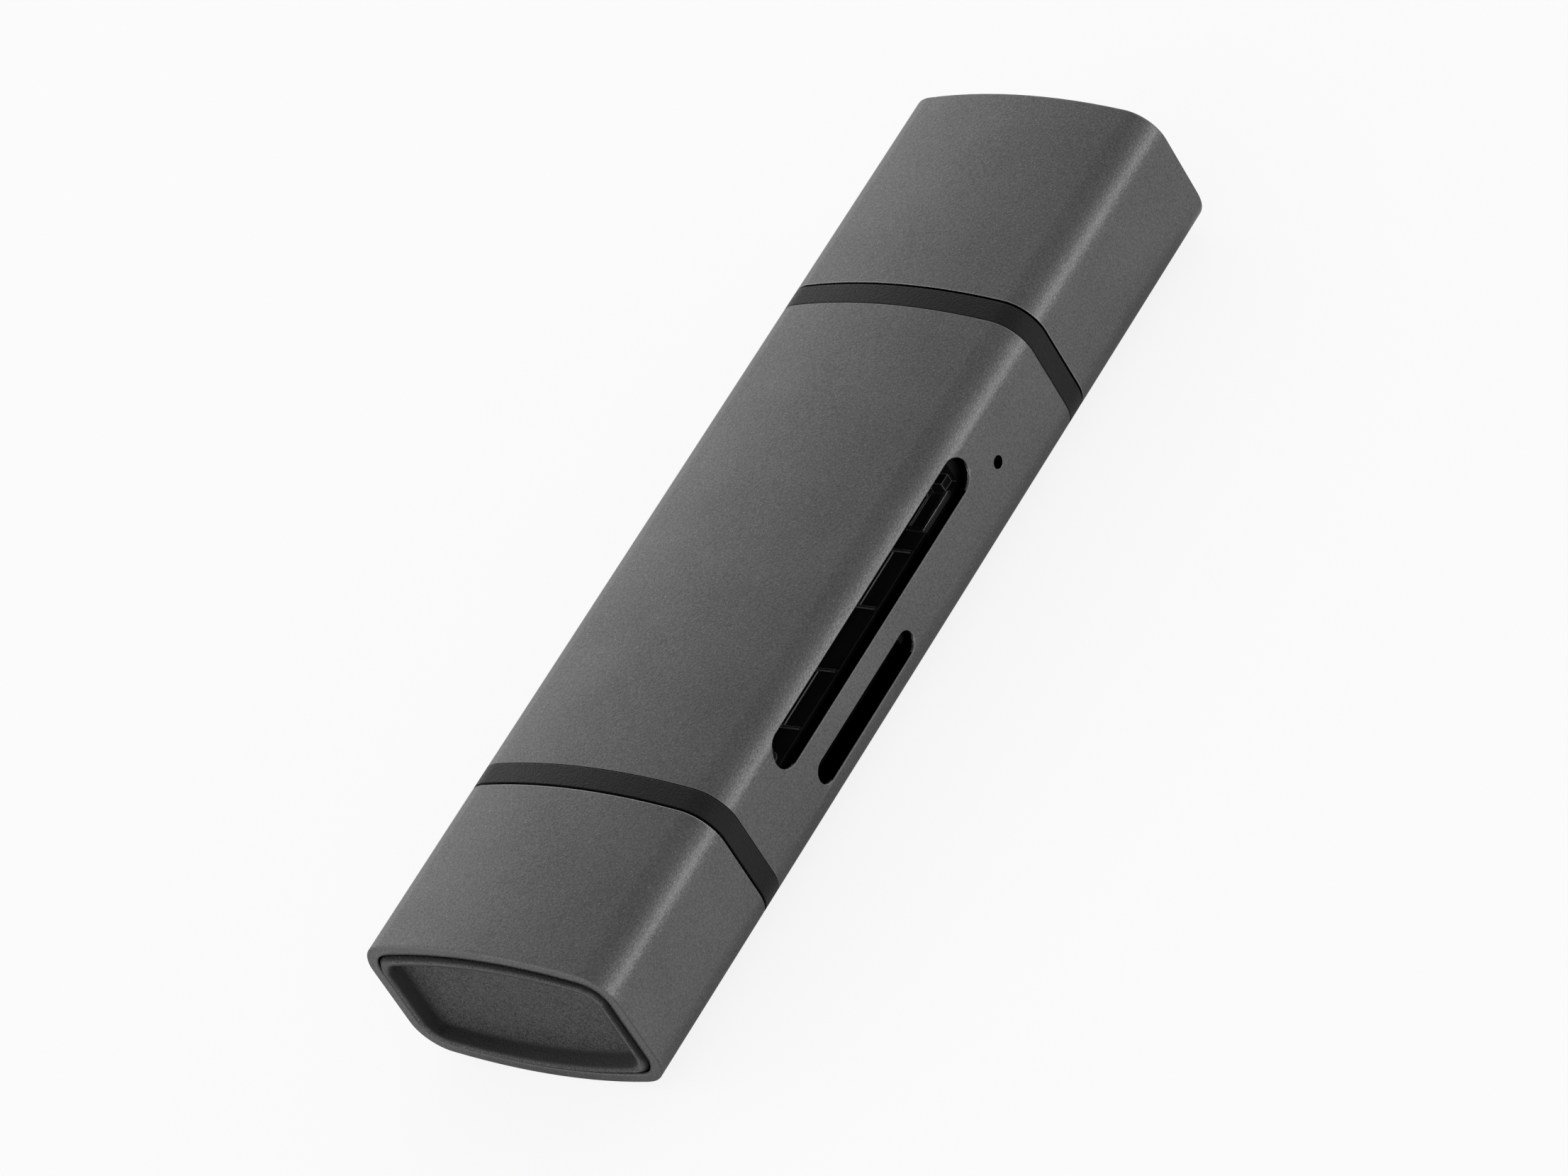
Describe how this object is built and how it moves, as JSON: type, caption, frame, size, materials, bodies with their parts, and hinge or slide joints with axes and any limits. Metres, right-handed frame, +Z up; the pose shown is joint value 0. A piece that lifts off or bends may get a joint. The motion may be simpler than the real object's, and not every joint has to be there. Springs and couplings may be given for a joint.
{
  "type": "usb card reader",
  "caption": "Pocket card reader: barrel-section aluminium sleeve with SD and microSD slots in one side, a USB plug at each end and pull-off caps.",
  "frame": {"origin": "on the table under the middle of the closed reader", "axes": "+X along the reader towards the USB-A end, +Z up, card slots facing -Y"},
  "size_m": [0.0742, 0.0206, 0.012],
  "materials": {
    "shell_aluminium": "fine bead-blasted, anodised grey",
    "casing_plastic": "satin moulded black",
    "plug_steel": "bright plated",
    "plug_plastic": "moulded",
    "contact_gold": "gold plated",
    "spring_steel": "bright",
    "socket_plastic": "moulded",
    "socket_steel": "tinned",
    "board_laminate": "solder mask",
    "chip_plastic": "moulded",
    "capacitor_ceramic": "fired",
    "resistor_ceramic": "fired",
    "lamp_resin": "clear resin"
  },
  "bodies": {
    "reader": {"body_sleeve": "shell_aluminium", "usb_a_end_frame": "casing_plastic", "usb_c_end_frame": "casing_plastic", "usb_a_plug_shell": "plug_steel", "usb_c_plug_shell": "plug_steel", "usb_a_plug_tongue": "plug_plastic", "usb_c_plug_insulator": "plug_plastic", "usb_a_front_contacts": "contact_gold", "usb_a_rear_contacts": "contact_gold", "usb_c_upper_contacts": "contact_gold", "usb_c_lower_contacts": "contact_gold", "sd_contacts": "contact_gold", "microsd_contacts": "contact_gold", "usb_c_latch_springs": "spring_steel", "sd_switch_spring": "spring_steel", "sd_socket_base": "socket_plastic", "microsd_socket_base": "socket_plastic", "sd_socket_cover": "socket_steel", "microsd_socket_cover": "socket_steel", "crystal": "socket_steel", "main_board": "board_laminate", "reader_chip": "chip_plastic", "voltage_regulator": "chip_plastic", "chip_capacitors": "capacitor_ceramic", "chip_resistors": "resistor_ceramic", "status_lamp": "lamp_resin"},
    "usb_a_cap": {"usb_a_cap_shell": "shell_aluminium", "usb_a_cap_insert": "casing_plastic"},
    "usb_c_cap": {"usb_c_cap_shell": "shell_aluminium", "usb_c_cap_insert": "casing_plastic"}
  },
  "joints": [
    {"name": "usb_a_cap_slide", "type": "slide", "parent": "reader", "child": "usb_a_cap", "axis": [1, 0, 0], "range_m": [0, 0.02]},
    {"name": "usb_c_cap_slide", "type": "slide", "parent": "reader", "child": "usb_c_cap", "axis": [-1, 0, 0], "range_m": [0, 0.014]}
  ]
}
